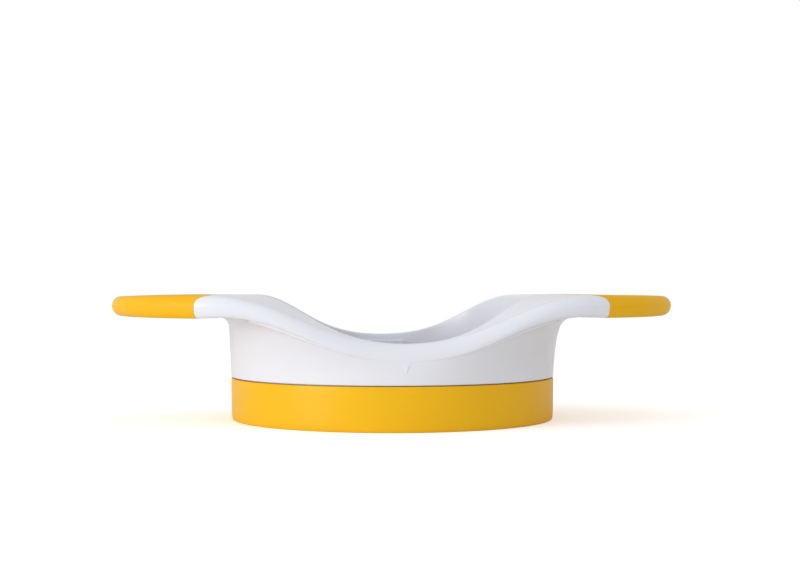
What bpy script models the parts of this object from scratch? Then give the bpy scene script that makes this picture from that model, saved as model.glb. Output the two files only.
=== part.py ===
"""Mango pitter: a ring frame with two press-down wings, an eye-shaped pit blade and a pull-off blade guard.

Metres, +Z up. X runs along the wings and Y along the blade, whose narrow ends point to the front and
the back. The origin is on the ring's axis, on the plane that the blade guard stands on.
"""

import math

import bmesh
import bpy
from mathutils import Matrix, Vector

MM = 0.001

# Clearances
SEAT_GAP = 0.3 * MM
CUT_OVERRUN = 2.0 * MM
MERGE_DISTANCE = 0.001 * MM

# Outline of the frame, seen from above: an oval, where a fullness of 2 would be a plain ellipse
OVERALL_LENGTH = 197.4 * MM
RIM_OVERHANG = 0.4 * MM
PLAN_FULLNESS = 2.7

# Saddle rim, which rises from the front and the back to the wings
SADDLE_HEIGHT = 28.5 * MM
CROWN_HEIGHT = 44.2 * MM
RISE_OVERRUN = 9.5 * MM
RISE_STEEPNESS = 0.15
WING_TOP_FALL = 0.5 * MM
LEVEL_SHARE = 0.5

# Rolled band along the rim, which becomes the wing's side face
BAND_HEIGHT = 5.7 * MM
BAND_GROWTH = 4
WING_THICKNESS = 7.6 * MM
WING_TIP_THICKNESS = 6.7 * MM
ROLL_DEPTH = 2.9 * MM
WING_UNDER_EDGE = 1.6 * MM
BAND_CREASE_SHARE = 0.06
WING_MIDDLE_SHARE = 0.5
UNDERCUT_SHARE = 0.5
COVE_SHARE = 0.4
COVE_RADIUS = 4.0 * MM

# Wall and neck of the ring
RING_RADIUS = 57.5 * MM
WALL_DRAFT = 0.04
WALL_FLARE = 8.0 * MM
FLARE_BLEND = 3
SHOULDER_WIDTH = 2.5 * MM
NECK_WALL = 2.2 * MM
SHOULDER_HEIGHT = 15.1 * MM
SHOULDER_EDGE = 0.5 * MM
NECK_LENGTH = 7.1 * MM
NECK_LEAD_IN = 0.5 * MM
LIP_RADIUS = 0.8 * MM

# Soft grips, moulded over a tang of each wing
WING_BARE_SHARE = 0.214
GRIP_EDGE_FULLNESS = 2.5
GRIP_TOP_DRAW_SHARE = 0.91
GRIP_UNDER_DRAW_SHARE = 0.19
GRIP_HOLLOW_SHARE = 0.68
GRIP_SIDE_WALL = 2.4 * MM
GRIP_SKIN = 1.8 * MM
TANG_EMBED = 1.2 * MM
TANG_KEY_RADIUS = 4.0 * MM
TANG_KEY_SPACING = 44.0 * MM
TANG_KEY_SHARE = 0.4

# Blade strips
STRIP_THICKNESS = 0.6 * MM
EYE_WIDTH = 30.0 * MM
TAIL_LENGTH = 7.6 * MM
EYE_BEND_RADIUS = 4.0 * MM
BLADE_RECESS = 4.5 * MM
BLADE_EDGE = 3.0 * MM
BEVEL_HEIGHT = 2.2 * MM
TAB_LENGTH = 4.6 * MM
TAB_BEND_RADIUS = 0.9 * MM
TAB_DEPTH = 5.3 * MM
EDGE_STEP_RUN = 1.2 * MM

# Bosses in the ring that hold the blade's ends, and the keepers that close them
BOSS_HALF_WIDTH = 8.5 * MM
BOSS_DEPTH = 7.2 * MM
BOSS_CORNER = 2.0 * MM
BOSS_ROOF = 2.0 * MM
POCKET_HEADROOM = 0.5 * MM
BOSS_EMBED = 0.8 * MM
KEEPER_THICKNESS = 2.5 * MM
KEEPER_SIDE_INSET = 0.3 * MM
SCREW_SIDE_INSET = 3.1 * MM
SCREW_DEPTH = 2.3 * MM
SCREW_SHANK_RADIUS = 1.2 * MM
SCREW_GRIP_LENGTH = 9.0 * MM
SCREW_HEAD_RADIUS = 2.2 * MM
SCREW_HEAD_HEIGHT = 1.4 * MM
SCREW_HEAD_EDGE = 0.4 * MM
SCREW_POINT = 0.8 * MM

# Flush rivets through the doubled strips
RIVET_STAND_OFF = 2.9 * MM
RIVET_EDGE_INSET = 6.5 * MM
RIVET_TOP_INSET = 5.5 * MM
RIVET_SHANK_RADIUS = 0.9 * MM
RIVET_HEAD_RADIUS = 1.6 * MM
RIVET_HEAD_HEIGHT = 0.5 * MM
RIVET_HEAD_EDGE = 0.2 * MM

# Blade guard: an open ring that slips over the neck
GUARD_WALL = 1.6 * MM
GUARD_FOOT_INSET = 1.3 * MM
GUARD_TUCK_HEIGHT = 3.3 * MM
GUARD_TUCK_DEPTH = 0.15 * MM
GUARD_FLANGE_WIDTH = 6.5 * MM
GUARD_FLANGE_THICKNESS = 1.5 * MM
GUARD_EDGE = 0.4 * MM
GUARD_RIB_COUNT = 12
GUARD_RIB_WIDTH = 1.4 * MM
GUARD_RIB_START = 3.0 * MM
GUARD_RIB_TOP_INSET = 2.0 * MM

# Facets
PLAN_STEPS = 27
ROLL_STEPS = 5
UNDER_EDGE_STEPS = 3
COVE_STEPS = 2
LIP_STEPS = 2
WALL_STEPS = 3
TOP_STEPS = 3
EYE_STEPS = 24
EYE_BEND_STEPS = 4
TAB_BEND_STEPS = 3
ZONE_COLUMNS = 12
ZONE_ROWS = 8
KEEPER_STEPS = 6
KEY_SIDES = 14
SCREW_SIDES = 14
RIVET_SIDES = 14
GUARD_SIDES = 96

# Radii, reaches and heights that follow from the sizes above
NECK_RADIUS = RING_RADIUS - SHOULDER_WIDTH
BORE_RADIUS = NECK_RADIUS - NECK_WALL
NECK_BOTTOM = SHOULDER_HEIGHT - NECK_LENGTH
RIM_HALF_DEPTH = RING_RADIUS + RIM_OVERHANG
RISE_RUN = RING_RADIUS + RISE_OVERRUN
WING_REACH = OVERALL_LENGTH / 2
WING_BARE_LENGTH = (WING_REACH - RING_RADIUS) * WING_BARE_SHARE
GRIP_EDGE_X = RING_RADIUS + WING_BARE_LENGTH
GRIP_TOP_DRAW = WING_BARE_LENGTH * GRIP_TOP_DRAW_SHARE
GRIP_UNDER_DRAW = WING_BARE_LENGTH * GRIP_UNDER_DRAW_SHARE
GRIP_HOLLOW = WING_BARE_LENGTH * GRIP_HOLLOW_SHARE
TANG_KEY_X = GRIP_EDGE_X + (WING_REACH - GRIP_EDGE_X) * TANG_KEY_SHARE
STRIP_OFFSET = (SEAT_GAP + STRIP_THICKNESS) / 2
BLADE_TOP = SADDLE_HEIGHT - BLADE_RECESS
BOSS_FACE = BORE_RADIUS - BOSS_DEPTH
TAB_SEAT = BOSS_FACE + TAB_DEPTH
EYE_HALF_LENGTH = BOSS_FACE - TAIL_LENGTH
RIVET_Y = BOSS_FACE - RIVET_STAND_OFF
RIVET_LOW_Z = BLADE_EDGE + RIVET_EDGE_INSET
RIVET_HIGH_Z = BLADE_TOP - RIVET_TOP_INSET
SCREW_X = BOSS_HALF_WIDTH - SCREW_SIDE_INSET
SCREW_Y = BOSS_FACE + SCREW_DEPTH
KEEPER_TOP = NECK_BOTTOM + KEEPER_THICKNESS
KEEPER_OUTER_RADIUS = BORE_RADIUS - SEAT_GAP
BOSS_BOTTOM = KEEPER_TOP + SEAT_GAP
GUARD_TOP = SHOULDER_HEIGHT - SEAT_GAP
GUARD_FOOT_RADIUS = RING_RADIUS - GUARD_FOOT_INSET
GUARD_FLANGE_RADIUS = RING_RADIUS - GUARD_FLANGE_WIDTH

COLOURS = {
    "white_plastic": ((0.84, 0.85, 0.87), 0.28, 0.0),
    "grip_rubber": ((0.90, 0.49, 0.012), 0.45, 0.0),
    "guard_plastic": ((0.83, 0.50, 0.03), 0.38, 0.0),
    "blade_steel": ((0.62, 0.63, 0.65), 0.22, 1.0),
    "fastener_steel": ((0.55, 0.55, 0.57), 0.35, 1.0),
}


def clear_scene():
    for old in list(bpy.data.objects):
        bpy.data.objects.remove(old, do_unlink=True)


def new_collection(name):
    collection = bpy.data.collections.new(name)
    bpy.context.scene.collection.children.link(collection)
    return collection


def principled(name, finish):
    colour, roughness, metallic = COLOURS[finish]
    material = bpy.data.materials.new(name)
    material.use_nodes = True
    shader = material.node_tree.nodes["Principled BSDF"]
    shader.inputs["Base Color"].default_value = (*colour, 1.0)
    shader.inputs["Roughness"].default_value = roughness
    shader.inputs["Metallic"].default_value = metallic
    return material


def mesh_from(bm, name):
    bmesh.ops.recalc_face_normals(bm, faces=bm.faces)
    mesh = bpy.data.meshes.new(name)
    bm.to_mesh(mesh)
    bm.free()
    return mesh


def add_part(name, mesh, finish):
    """A visible piece, shaded smooth with sharp edges kept, with a material of its own."""
    piece = bpy.data.objects.new(name, mesh)
    parts.objects.link(piece)
    mesh.materials.append(principled(name, finish))
    mesh.shade_smooth()
    mesh.set_sharp_from_angle(angle=math.radians(35))
    return piece


def add_cutter(name, mesh):
    """A helper that only shapes other pieces."""
    helper = bpy.data.objects.new(name, mesh)
    cutters.objects.link(helper)
    helper.display_type = "WIRE"
    helper.hide_render = True
    return helper


def boolean(piece, helper, operation):
    step = piece.modifiers.new(f"{operation.lower()} {helper.name}", "BOOLEAN")
    step.operation = operation
    step.solver = "EXACT"
    step.object = helper


def mix(start, end, share):
    return start + (end - start) * share


def steps(count):
    return [index / count for index in range(count + 1)]


def arc(centre, radius, start, end, count, outward=1):
    """Points along an arc, each with the outline's outward normal."""
    stations = []
    for share in steps(count):
        angle = mix(start, end, share)
        ray = Vector((math.cos(angle), math.sin(angle)))
        stations.append((centre + ray * radius, ray * outward))
    return stations


# The outline in plan is one smooth oval, from the wing's tip to the front or back
def plan_station(x, y):
    """A point of the oval with the oval's outward normal there."""
    across = x ** (PLAN_FULLNESS - 1) / WING_REACH**PLAN_FULLNESS
    along = y ** (PLAN_FULLNESS - 1) / RIM_HALF_DEPTH**PLAN_FULLNESS
    return Vector((x, y)), Vector((across, along)).normalized()


def quarter_outline():
    power = 2 / PLAN_FULLNESS
    outline = [plan_station(WING_REACH, 0)]
    for share in steps(PLAN_STEPS)[1:-1]:
        angle = share * math.pi / 2
        x = WING_REACH * math.cos(angle) ** power
        outline.append(plan_station(x, RIM_HALF_DEPTH * math.sin(angle) ** power))
    outline.append(plan_station(0, RIM_HALF_DEPTH))
    return outline


# Heights along the rim depend only on how far out along X a point lies
def rise_share(x):
    run = min(x / RISE_RUN, 1)
    eased = run - RISE_STEEPNESS * math.sin(2 * math.pi * run) / (2 * math.pi)
    return (1 - math.cos(math.pi * eased)) / 2


def tip_share(x):
    return (max(x - RISE_RUN, 0) / (WING_REACH - RISE_RUN)) ** 2


def top_height(x):
    return mix(SADDLE_HEIGHT, CROWN_HEIGHT, rise_share(x)) - WING_TOP_FALL * tip_share(x)


def band_height(x):
    thinning = (WING_THICKNESS - WING_TIP_THICKNESS) * tip_share(x)
    return mix(BAND_HEIGHT, WING_THICKNESS, min(x / RISE_RUN, 1) ** BAND_GROWTH) - thinning


def under_height(x):
    return top_height(x) - band_height(x)


def drafted_radius(z):
    return RING_RADIUS + WALL_DRAFT * (z - SHOULDER_HEIGHT)


def flare_depth(ray, room):
    """How far the wall bows out below the rim: most on the diagonals, and less than the room there."""
    wish = max(WALL_FLARE * (2 * ray.x * ray.y) ** 2, MERGE_DISTANCE)
    return (wish**-FLARE_BLEND + room**-FLARE_BLEND) ** (-1 / FLARE_BLEND)


def frame_section(point, normal):
    """One closed loop of points around the frame's wall, band and wing, from the bore down and round."""
    rim_x = point.x
    ray = point.normalized()
    section = []

    def level_x(plan):
        return mix(plan.x, rim_x, LEVEL_SHARE)

    def add(plan, z):
        section.append(Vector((plan.x, plan.y, z)))

    add(ray * BORE_RADIUS, NECK_BOTTOM)
    add(ray * (NECK_RADIUS - NECK_LEAD_IN), NECK_BOTTOM)
    add(ray * NECK_RADIUS, NECK_BOTTOM + NECK_LEAD_IN)
    add(ray * NECK_RADIUS, SHOULDER_HEIGHT)
    for share in steps(LIP_STEPS):
        angle = share * math.pi / 2
        inset = SHOULDER_EDGE * (1 - math.sin(angle))
        add(ray * (RING_RADIUS - inset), SHOULDER_HEIGHT + SHOULDER_EDGE * (1 - math.cos(angle)))

    # The wall, and the cove that turns it out into the underside, limited by what overhangs there
    wall_under = under_height(level_x(ray * RING_RADIUS))
    room = point.length - drafted_radius(wall_under)
    flare = flare_depth(ray, room)
    corner = drafted_radius(wall_under) + flare
    cove = min(COVE_RADIUS, COVE_SHARE * (room - flare))
    wall_foot = SHOULDER_HEIGHT + SHOULDER_EDGE

    def wall_reach(z):
        share = (z - SHOULDER_HEIGHT) / (wall_under - SHOULDER_HEIGHT)
        return drafted_radius(z) + flare * share**2

    for share in steps(WALL_STEPS)[1:]:
        z = mix(wall_foot, wall_under - cove, share)
        add(ray * wall_reach(z), z)
    for share in steps(COVE_STEPS)[1:]:
        rising = mix(wall_reach(wall_under - cove), corner, share)
        level = mix(corner, corner + cove, share)
        add(ray * mix(rising, level, share), wall_under - cove * (1 - share) ** 2)
    cove_end = ray * (corner + cove)

    # The edge: a quarter of an ellipse under the widest point, and a taller one above it
    under_edge = mix(WING_UNDER_EDGE, WING_TIP_THICKNESS / 2, tip_share(rim_x))
    under_edge = min(under_edge, UNDERCUT_SHARE * (room - flare))
    roll_depth = mix(ROLL_DEPTH, WING_TIP_THICKNESS / 2, tip_share(rim_x))
    low = under_height(rim_x)
    high = top_height(rim_x)
    middle_share = mix(BAND_CREASE_SHARE, WING_MIDDLE_SHARE, rise_share(rim_x))
    middle = mix(low, high, middle_share)
    edge_start = point - normal * under_edge
    halfway = (cove_end + edge_start) / 2
    add(halfway, under_height(level_x(halfway)))
    for share in steps(UNDER_EDGE_STEPS):
        angle = share * math.pi / 2
        add(point - normal * under_edge * (1 - math.sin(angle)), mix(middle, low, math.cos(angle)))
    for share in steps(ROLL_STEPS)[1:]:
        angle = share * math.pi / 2
        add(point - normal * roll_depth * (1 - math.cos(angle)), mix(middle, high, math.sin(angle)))

    # The top land runs in to the bore's rounded lip
    crest = point - normal * roll_depth
    lip_plan = ray * (BORE_RADIUS + LIP_RADIUS)
    for share in steps(TOP_STEPS)[1:]:
        plan = crest.lerp(lip_plan, share)
        add(plan, top_height(level_x(plan)))
    lip_z = top_height(level_x(lip_plan)) - LIP_RADIUS
    for share in steps(LIP_STEPS)[1:]:
        angle = share * math.pi / 2
        reach = BORE_RADIUS + LIP_RADIUS * (1 - math.sin(angle))
        add(ray * reach, lip_z + LIP_RADIUS * math.cos(angle))
    return section


def loft(sections, closed=False):
    """Joins closed loops of points with quads. A loft that isn't closed stays open at both ends."""
    bm = bmesh.new()
    rings = [[bm.verts.new(point) for point in section] for section in sections]
    if closed:
        rings.append(rings[0])
    count = len(rings[0])
    for ring, after in zip(rings, rings[1:]):
        for index in range(count):
            following = (index + 1) % count
            bm.faces.new((ring[index], ring[following], after[following], after[index]))
    return bm


def mirrored(bm, axes):
    """Adds the mirror image across each axis in turn and welds the halves on the mirror plane."""
    for axis in axes:
        bmesh.ops.mirror(
            bm,
            geom=bm.verts[:] + bm.edges[:] + bm.faces[:],
            matrix=Matrix.Identity(4),
            merge_dist=MERGE_DISTANCE,
            axis=axis,
        )
    return bm


def frame_form():
    """The frame's whole outer form, with the grips' share of the wings still on it."""
    sections = [frame_section(point, normal) for point, normal in quarter_outline()]
    return mesh_from(mirrored(loft(sections), "XY"), "frame_form")


# The parting surface between the white wing and the soft grip
def grip_edge_x(y, z):
    """How far out the grip starts: least along the crest and the under side, and more at mid width."""
    middle = mix(under_height(GRIP_EDGE_X), top_height(GRIP_EDGE_X), WING_MIDDLE_SHARE)
    off_middle = min(abs(z - middle) / (band_height(GRIP_EDGE_X) / 2), 1)
    draw = GRIP_TOP_DRAW if z > middle else GRIP_UNDER_DRAW
    round_off = 1 - (1 - off_middle**GRIP_EDGE_FULLNESS) ** (1 / GRIP_EDGE_FULLNESS)
    return GRIP_EDGE_X - draw * round_off + GRIP_HOLLOW * (1 - (y / RIM_HALF_DEPTH) ** 2)


def grip_zone(name, side, gap):
    """A block that holds everything outside the parting surface on one side."""
    half_width = RIM_HALF_DEPTH + CUT_OVERRUN
    low = under_height(RISE_RUN) - CUT_OVERRUN
    high = CROWN_HEIGHT + CUT_OVERRUN
    far = WING_REACH + CUT_OVERRUN
    bm = bmesh.new()
    bmesh.ops.create_grid(bm, x_segments=ZONE_COLUMNS, y_segments=ZONE_ROWS, size=1)
    for vertex in bm.verts:
        y = vertex.co.x * half_width
        z = mix(low, high, (vertex.co.y + 1) / 2)
        vertex.co = (side * (grip_edge_x(y, z) + gap), y, z)
    pulled = bmesh.ops.extrude_face_region(bm, geom=bm.faces[:])
    for item in pulled["geom"]:
        if isinstance(item, bmesh.types.BMVert):
            item.co.x = side * far
    return add_cutter(name, mesh_from(bm, name))


def plate(name, outline, low, high):
    """A flat outline, drawn as a filled 2D curve, extruded between two heights and made a mesh."""
    curve = bpy.data.curves.new(name, "CURVE")
    curve.dimensions = "2D"
    curve.fill_mode = "BOTH"
    curve.extrude = (high - low) / 2
    spline = curve.splines.new("POLY")
    spline.points.add(len(outline) - 1)
    for target, point in zip(spline.points, outline):
        target.co = (point[0], point[1], 0, 1)
    spline.use_cyclic_u = True
    drawn = bpy.data.objects.new(name, curve)
    cutters.objects.link(drawn)
    graph = bpy.context.evaluated_depsgraph_get()
    mesh = bpy.data.meshes.new_from_object(drawn.evaluated_get(graph))
    bm = bmesh.new()
    bm.from_mesh(mesh)
    bmesh.ops.remove_doubles(bm, verts=bm.verts, dist=MERGE_DISTANCE)
    bmesh.ops.translate(bm, verts=bm.verts, vec=(0, 0, (low + high) / 2))
    bpy.data.objects.remove(drawn, do_unlink=True)
    bpy.data.meshes.remove(mesh)
    return mesh_from(bm, name)


def cylinder(name, radius, start, end, sides):
    """A closed cylinder between two points."""
    start = Vector(start)
    axis = Vector(end) - start
    bm = bmesh.new()
    turn = axis.to_track_quat("Z", "Y").to_matrix().to_4x4()
    place = Matrix.Translation(start + axis / 2) @ turn
    bmesh.ops.create_cone(
        bm,
        cap_ends=True,
        segments=sides,
        radius1=radius,
        radius2=radius,
        depth=axis.length,
        matrix=place,
    )
    return mesh_from(bm, name)


def turned(name, profile, sides, finish=None):
    """A profile of (radius, height) points, run down its outer side, turned about Z with a Screw modifier."""
    bm = bmesh.new()
    points = [bm.verts.new((radius, 0, z)) for radius, z in profile]
    for first, second in zip(points, points[1:]):
        bm.edges.new((first, second))
    if profile[0][0] > 0:
        bm.edges.new((points[-1], points[0]))
    mesh = bpy.data.meshes.new(name)
    bm.to_mesh(mesh)
    bm.free()
    piece = add_part(name, mesh, finish) if finish else add_cutter(name, mesh)
    lathe = piece.modifiers.new("lathe", "SCREW")
    lathe.axis = "Z"
    lathe.steps = sides
    lathe.render_steps = sides
    lathe.use_merge_vertices = True
    lathe.merge_threshold = MERGE_DISTANCE
    lathe.use_smooth_shade = True
    return piece


# The tang inside each grip, keyed by two holes that the soft plastic fills
def tang_heights():
    return under_height(WING_REACH) + GRIP_SKIN, top_height(WING_REACH) - GRIP_SKIN


def tang_outline(side, growth):
    """The wing's outline drawn in by the grip's wall, from inside the white wing out to the tip."""
    root = GRIP_EDGE_X - GRIP_TOP_DRAW - TANG_EMBED
    inset = GRIP_SIDE_WALL - growth
    drawn_in = [point - normal * inset for point, normal in quarter_outline()]
    half = [point for point in drawn_in if point.x > root]
    half.append(Vector((root, half[-1].y)))
    far_side = [(point.x, point.y) for point in half]
    near_side = [(x, -y) for x, y in far_side[:0:-1]]
    return [(side * x, y) for x, y in near_side + far_side]


def tang(name, side, growth):
    """The tang, grown all round by a clearance where it is used as a cutter."""
    low, high = tang_heights()
    body = add_cutter(name, plate(name, tang_outline(side, growth), low - growth, high + growth))
    for share in (-1, 1):
        x = side * TANG_KEY_X
        y = share * TANG_KEY_SPACING / 2
        start = (x, y, low - CUT_OVERRUN)
        end = (x, y, high + CUT_OVERRUN)
        key_name = f"{name}_key_{'front' if share < 0 else 'back'}"
        key = add_cutter(key_name, cylinder(key_name, TANG_KEY_RADIUS - growth, start, end, KEY_SIDES))
        boolean(body, key, "DIFFERENCE")
    return body


def make_grip(name, side):
    """A soft skin of the wing's own outer form, hollow for the tang."""
    mesh = form.copy()
    mesh.name = name
    grip = add_part(name, mesh, "grip_rubber")
    boolean(grip, grip_zone(f"{name}_zone", side, SEAT_GAP), "INTERSECT")
    boolean(grip, tang(f"{name}_hollow", side, SEAT_GAP), "DIFFERENCE")
    return grip


# The bosses at the front and the back of the bore
def boss_outline(side):
    outer = BORE_RADIUS + BOSS_EMBED
    inner = BOSS_FACE
    width = BOSS_HALF_WIDTH
    corner = BOSS_CORNER
    points = [
        (width, outer),
        (width, inner + corner),
        (width - corner, inner),
        (corner - width, inner),
        (-width, inner + corner),
        (-width, outer),
    ]
    return [(x, side * y) for x, y in points]


def box(name, low, high):
    """A closed box between two opposite corners."""
    low = Vector(low)
    high = Vector(high)
    size = high - low
    bm = bmesh.new()
    place = Matrix.Translation((low + high) / 2) @ Matrix.Diagonal((*size, 1))
    bmesh.ops.create_cube(bm, size=1, matrix=place)
    return mesh_from(bm, name)


def blade_slots(label, side):
    """A slot for the doubled tails, and behind it a taller cross pocket for their bent tabs."""
    floor = BOSS_BOTTOM - CUT_OVERRUN
    tail = STRIP_OFFSET + STRIP_THICKNESS / 2 + SEAT_GAP
    pocket = TAB_LENGTH + SEAT_GAP
    near = TAB_SEAT - STRIP_THICKNESS / 2 - SEAT_GAP
    far = TAB_SEAT + STRIP_THICKNESS / 2 + SEAT_GAP
    roof = BLADE_TOP + SEAT_GAP
    spans = {
        f"slot_{label}": (tail, BOSS_FACE - CUT_OVERRUN, TAB_SEAT, roof),
        f"pocket_{label}": (pocket, near, far, roof + POCKET_HEADROOM),
    }
    for name, (half_width, start, end, top) in spans.items():
        low = (-half_width, min(side * start, side * end), floor)
        high = (half_width, max(side * start, side * end), top)
        yield add_cutter(name, box(name, low, high))


def make_frame():
    frame = add_part("frame", form.copy(), "white_plastic")
    frame.data.name = "frame"
    for label, side in (("left", -1), ("right", 1)):
        boolean(frame, grip_zone(f"wing_{label}_end", side, 0), "DIFFERENCE")
        boolean(frame, tang(f"tang_{label}", side, 0), "UNION")
    for label, side in (("front", -1), ("back", 1)):
        roof = BLADE_TOP + SEAT_GAP + BOSS_ROOF
        boss_name = f"boss_{label}"
        boss = add_cutter(boss_name, plate(boss_name, boss_outline(side), BOSS_BOTTOM, roof))
        boolean(frame, boss, "UNION")
        for cutter in blade_slots(label, side):
            boolean(frame, cutter, "DIFFERENCE")
        for share in (-1, 1):
            x = share * SCREW_X
            y = side * SCREW_Y
            floor = BOSS_BOTTOM - CUT_OVERRUN
            depth = NECK_BOTTOM + SCREW_GRIP_LENGTH + SEAT_GAP
            pilot_name = f"pilot_{label}_{'left' if share < 0 else 'right'}"
            radius = SCREW_SHANK_RADIUS + SEAT_GAP
            pilot = cylinder(pilot_name, radius, (x, y, floor), (x, y, depth), SCREW_SIDES)
            boolean(frame, add_cutter(pilot_name, pilot), "DIFFERENCE")
    return frame


# Each blade strip runs from a bent tab, along a straight tail, round half of the eye and back to a tab
def half_strip_path():
    """Points and left-hand normals from the back tab to the middle of the eye, for the strip at +X."""
    chord = EYE_HALF_LENGTH
    rise = EYE_WIDTH / 2 - STRIP_OFFSET
    eye_radius = (chord**2 + rise**2) / (2 * rise)
    eye_centre = Vector((EYE_WIDTH / 2 - eye_radius, 0))
    bend_x = STRIP_OFFSET + EYE_BEND_RADIUS
    bend_y = math.sqrt((eye_radius + EYE_BEND_RADIUS) ** 2 - (bend_x - eye_centre.x) ** 2)
    bend_centre = Vector((bend_x, bend_y))
    meet = math.atan2(bend_y, bend_x - eye_centre.x)
    tab_centre = Vector((STRIP_OFFSET + TAB_BEND_RADIUS, TAB_SEAT - TAB_BEND_RADIUS))

    path = [(Vector((TAB_LENGTH, TAB_SEAT)), Vector((0, 1)))]
    path += arc(tab_centre, TAB_BEND_RADIUS, math.pi / 2, math.pi, TAB_BEND_STEPS)
    left = Vector((-1, 0))
    for y in (BOSS_FACE, BOSS_FACE - EDGE_STEP_RUN):
        path.append((Vector((STRIP_OFFSET, y)), left))
    path += arc(bend_centre, EYE_BEND_RADIUS, math.pi, math.pi + meet, EYE_BEND_STEPS)
    path += arc(eye_centre, eye_radius, meet, 0, EYE_STEPS // 2, outward=-1)[1:]
    return path


def edge_height(y):
    """The cutting edge, which steps up to the keeper where the tail enters its boss."""
    share = (abs(y) - (BOSS_FACE - EDGE_STEP_RUN)) / EDGE_STEP_RUN
    return mix(BLADE_EDGE, BOSS_BOTTOM, min(max(share, 0), 1))


def strip_section(point, normal):
    """A thin upright section that is ground to an edge on both faces."""
    half = normal * STRIP_THICKNESS / 2
    low = edge_height(point.y)
    shoulder = low + BEVEL_HEIGHT
    face = [(point + half, BLADE_TOP), (point - half, BLADE_TOP), (point - half, shoulder)]
    face += [(point, low), (point + half, shoulder)]
    return [Vector((plan.x, plan.y, z)) for plan, z in face]


def make_blade(name, side):
    back = half_strip_path()
    front = [(Vector((p.x, -p.y)), Vector((n.x, -n.y))) for p, n in back[-2::-1]]
    sections = [strip_section(point, normal) for point, normal in back + front]
    bm = loft(sections)
    bm.verts.ensure_lookup_table()
    count = len(sections[0])
    bm.faces.new(bm.verts[:count])
    bm.faces.new(bm.verts[-count:])
    if side < 0:
        bmesh.ops.scale(bm, vec=(-1, 1, 1), verts=bm.verts)
    blade = add_part(name, mesh_from(bm, name), "blade_steel")
    for place, y, z in rivet_places():
        reach = side * (STRIP_OFFSET + STRIP_THICKNESS)
        hole_name = f"{name}_hole_{place}"
        radius = RIVET_SHANK_RADIUS + SEAT_GAP
        hole = cylinder(hole_name, radius, (0, y, z), (2 * reach, y, z), RIVET_SIDES)
        boolean(blade, add_cutter(hole_name, hole), "DIFFERENCE")
    return blade


def rivet_places():
    places = []
    for end, side in (("front", -1), ("back", 1)):
        for level, z in (("lower", RIVET_LOW_Z), ("upper", RIVET_HIGH_Z)):
            places.append((f"{end}_{level}", side * RIVET_Y, z))
    return places


def make_rivet(name, y, z):
    """A flush rivet with a low head on each face of the doubled strips."""
    seat = STRIP_OFFSET + STRIP_THICKNESS / 2 + SEAT_GAP
    top = seat + RIVET_HEAD_HEIGHT
    rim = RIVET_HEAD_RADIUS - RIVET_HEAD_EDGE
    half = [(0, top), (rim, top), (RIVET_HEAD_RADIUS, top - RIVET_HEAD_EDGE)]
    half += [(RIVET_HEAD_RADIUS, seat), (RIVET_SHANK_RADIUS, seat)]
    profile = half + [(radius, -height) for radius, height in half[::-1]]
    rivet = turned(name, profile, RIVET_SIDES, "fastener_steel")
    rivet.rotation_euler = (0, math.pi / 2, 0)
    rivet.location = (0, y, z)
    return rivet


def keeper_outline(side):
    """The boss's own outline, drawn in a little, with its outer side following the neck."""
    width = BOSS_HALF_WIDTH - KEEPER_SIDE_INSET
    inner = BOSS_FACE + KEEPER_SIDE_INSET
    points = [(width - BOSS_CORNER, inner), (width, inner + BOSS_CORNER)]
    outer = KEEPER_OUTER_RADIUS
    sweep = math.asin(width / outer)
    for share in steps(KEEPER_STEPS):
        angle = mix(sweep, -sweep, share)
        points.append((outer * math.sin(angle), outer * math.cos(angle)))
    points += [(-width, inner + BOSS_CORNER), (BOSS_CORNER - width, inner)]
    return [(x, side * y) for x, y in points]


def make_keeper(name, side):
    """The plate that closes a boss from below, with two clearance holes for its screws."""
    body = plate(name, keeper_outline(side), NECK_BOTTOM, KEEPER_TOP)
    keeper = add_part(name, body, "white_plastic")
    for share in (-1, 1):
        x = share * SCREW_X
        y = side * SCREW_Y
        hole_name = f"{name}_hole_{'left' if share < 0 else 'right'}"
        low = (x, y, NECK_BOTTOM - CUT_OVERRUN)
        high = (x, y, KEEPER_TOP + CUT_OVERRUN)
        hole = cylinder(hole_name, SCREW_SHANK_RADIUS + SEAT_GAP, low, high, SCREW_SIDES)
        boolean(keeper, add_cutter(hole_name, hole), "DIFFERENCE")
    return keeper


def make_screw(name, x, y):
    """A pan-head screw, driven up through the keeper into the boss."""
    head_top = NECK_BOTTOM - SEAT_GAP
    head_low = head_top - SCREW_HEAD_HEIGHT
    tip = NECK_BOTTOM + SCREW_GRIP_LENGTH
    shank = SCREW_SHANK_RADIUS
    head = SCREW_HEAD_RADIUS
    profile = [(0, tip), (shank - SCREW_POINT / 2, tip), (shank, tip - SCREW_POINT), (shank, head_top)]
    profile += [(head, head_top), (head, head_low + SCREW_HEAD_EDGE)]
    profile += [(head - SCREW_HEAD_EDGE, head_low), (0, head_low)]
    screw = turned(name, profile, SCREW_SIDES, "fastener_steel")
    screw.location = (x, y, 0)
    return screw


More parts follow.
